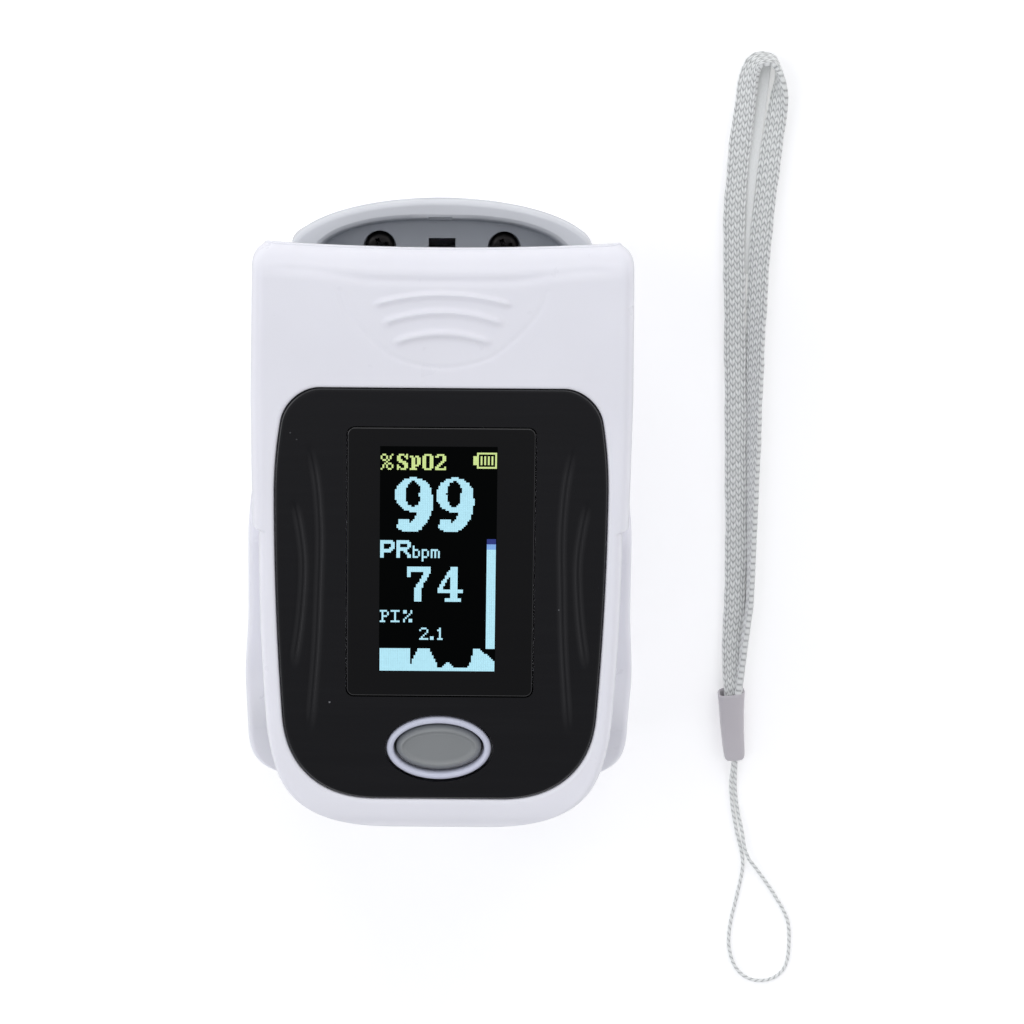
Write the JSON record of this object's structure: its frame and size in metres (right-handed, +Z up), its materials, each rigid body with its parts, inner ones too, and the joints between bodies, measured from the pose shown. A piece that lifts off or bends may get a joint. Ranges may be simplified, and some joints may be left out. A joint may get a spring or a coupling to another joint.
{
  "type": "fingertip pulse oximeter",
  "caption": "Clip-on fingertip sensor: two sprung plastic jaws with a lit display, an oval button, cells under a sliding cover and a loose wrist lanyard.",
  "frame": {"origin": "on the surface the device stands on, below the middle of its body, lanyard left out", "axes": "+Z up through the display face, +Y out of the finger opening, X across"},
  "size_m": [0.0549, 0.0976, 0.0317],
  "materials": {
    "white_shell": "satin moulded ABS, cool white",
    "grey_liner": "satin moulded ABS, light grey",
    "black_gloss": "polished black moulding",
    "window": "tinted acrylic, flush",
    "button_grey": "satin mid grey moulding",
    "rubber_pad": "soft grey silicone",
    "foam": "closed cell foam",
    "display_glass": "black display glass, lit readout",
    "board_green": "green solder mask",
    "chip_black": "black epoxy",
    "amber_film": "amber polyimide film",
    "steel": "bright spring steel",
    "black_steel": "black oxide",
    "clear_resin": "clear epoxy",
    "cell_jacket": "printed metal jacket",
    "ferrule": "soft lilac grey vinyl",
    "cord": "braided light grey polyester"
  },
  "bodies": {
    "lower_jaw": {"battery_1": "cell_jacket", "battery_2": "cell_jacket", "bottom_cover": "white_shell", "bridge_contact": "steel", "flex_cable": "amber_film", "hinge_pin": "steel", "lanyard_ferrule": "ferrule", "lanyard_strap": "cord", "lanyard_string": "cord", "lower_finger_pad": "rubber_pad", "lower_screw_1": "black_steel", "lower_screw_2": "black_steel", "lower_screw_3": "black_steel", "lower_screw_4": "black_steel", "lower_tray": "grey_liner", "negative_contact": "steel", "photodiode": "chip_black", "photodiode_window": "clear_resin", "positive_contact": "steel", "sensor_board": "board_green", "torsion_spring_left": "steel", "torsion_spring_right": "steel"},
    "upper_jaw": {"top_cover": "white_shell", "face_panel": "black_gloss", "display_window": "window", "display_gasket": "foam", "oled_display": "display_glass", "display_ribbon": "amber_film", "main_board": "board_green", "mcu_chip": "chip_black", "amplifier_chip": "chip_black", "tact_switch_body": "chip_black", "upper_liner": "grey_liner", "upper_finger_pad": "rubber_pad", "emitter_board": "board_green", "led_emitter": "clear_resin", "upper_screw_1": "steel", "upper_screw_2": "steel", "upper_screw_3": "steel", "upper_screw_4": "steel"},
    "power_button": {"power_button": "button_grey"},
    "switch_plunger": {"tact_switch_plunger": "black_gloss"},
    "battery_door": {"battery_cover": "white_shell"}
  },
  "joints": [
    {"name": "jaw_hinge", "type": "hinge", "parent": "lower_jaw", "child": "upper_jaw", "pos_m": [0, -0.0113, 0.0165], "axis": [1, 0, 0], "range_deg": [0, 20], "stiffness_Nm_per_rad": 0.05, "springref_deg": -34.38, "deforming": ["torsion_spring_left", "torsion_spring_right", "flex_cable"]},
    {"name": "button_press", "type": "slide", "parent": "upper_jaw", "child": "power_button", "axis": [0, 0, -1], "range_m": [0, 0.00025], "stiffness_N_per_m": 200, "springref_m": -0.002},
    {"name": "plunger_press", "type": "slide", "parent": "upper_jaw", "child": "switch_plunger", "axis": [0, 0, -1], "range_m": [0, 0.00025]},
    {"name": "door_slide", "type": "slide", "parent": "lower_jaw", "child": "battery_door", "axis": [0, -1, 0], "range_m": [0, 0.048]}
  ],
  "couplings": [
    {"joint": "plunger_press", "follows": "button_press", "ratio": 1}
  ]
}
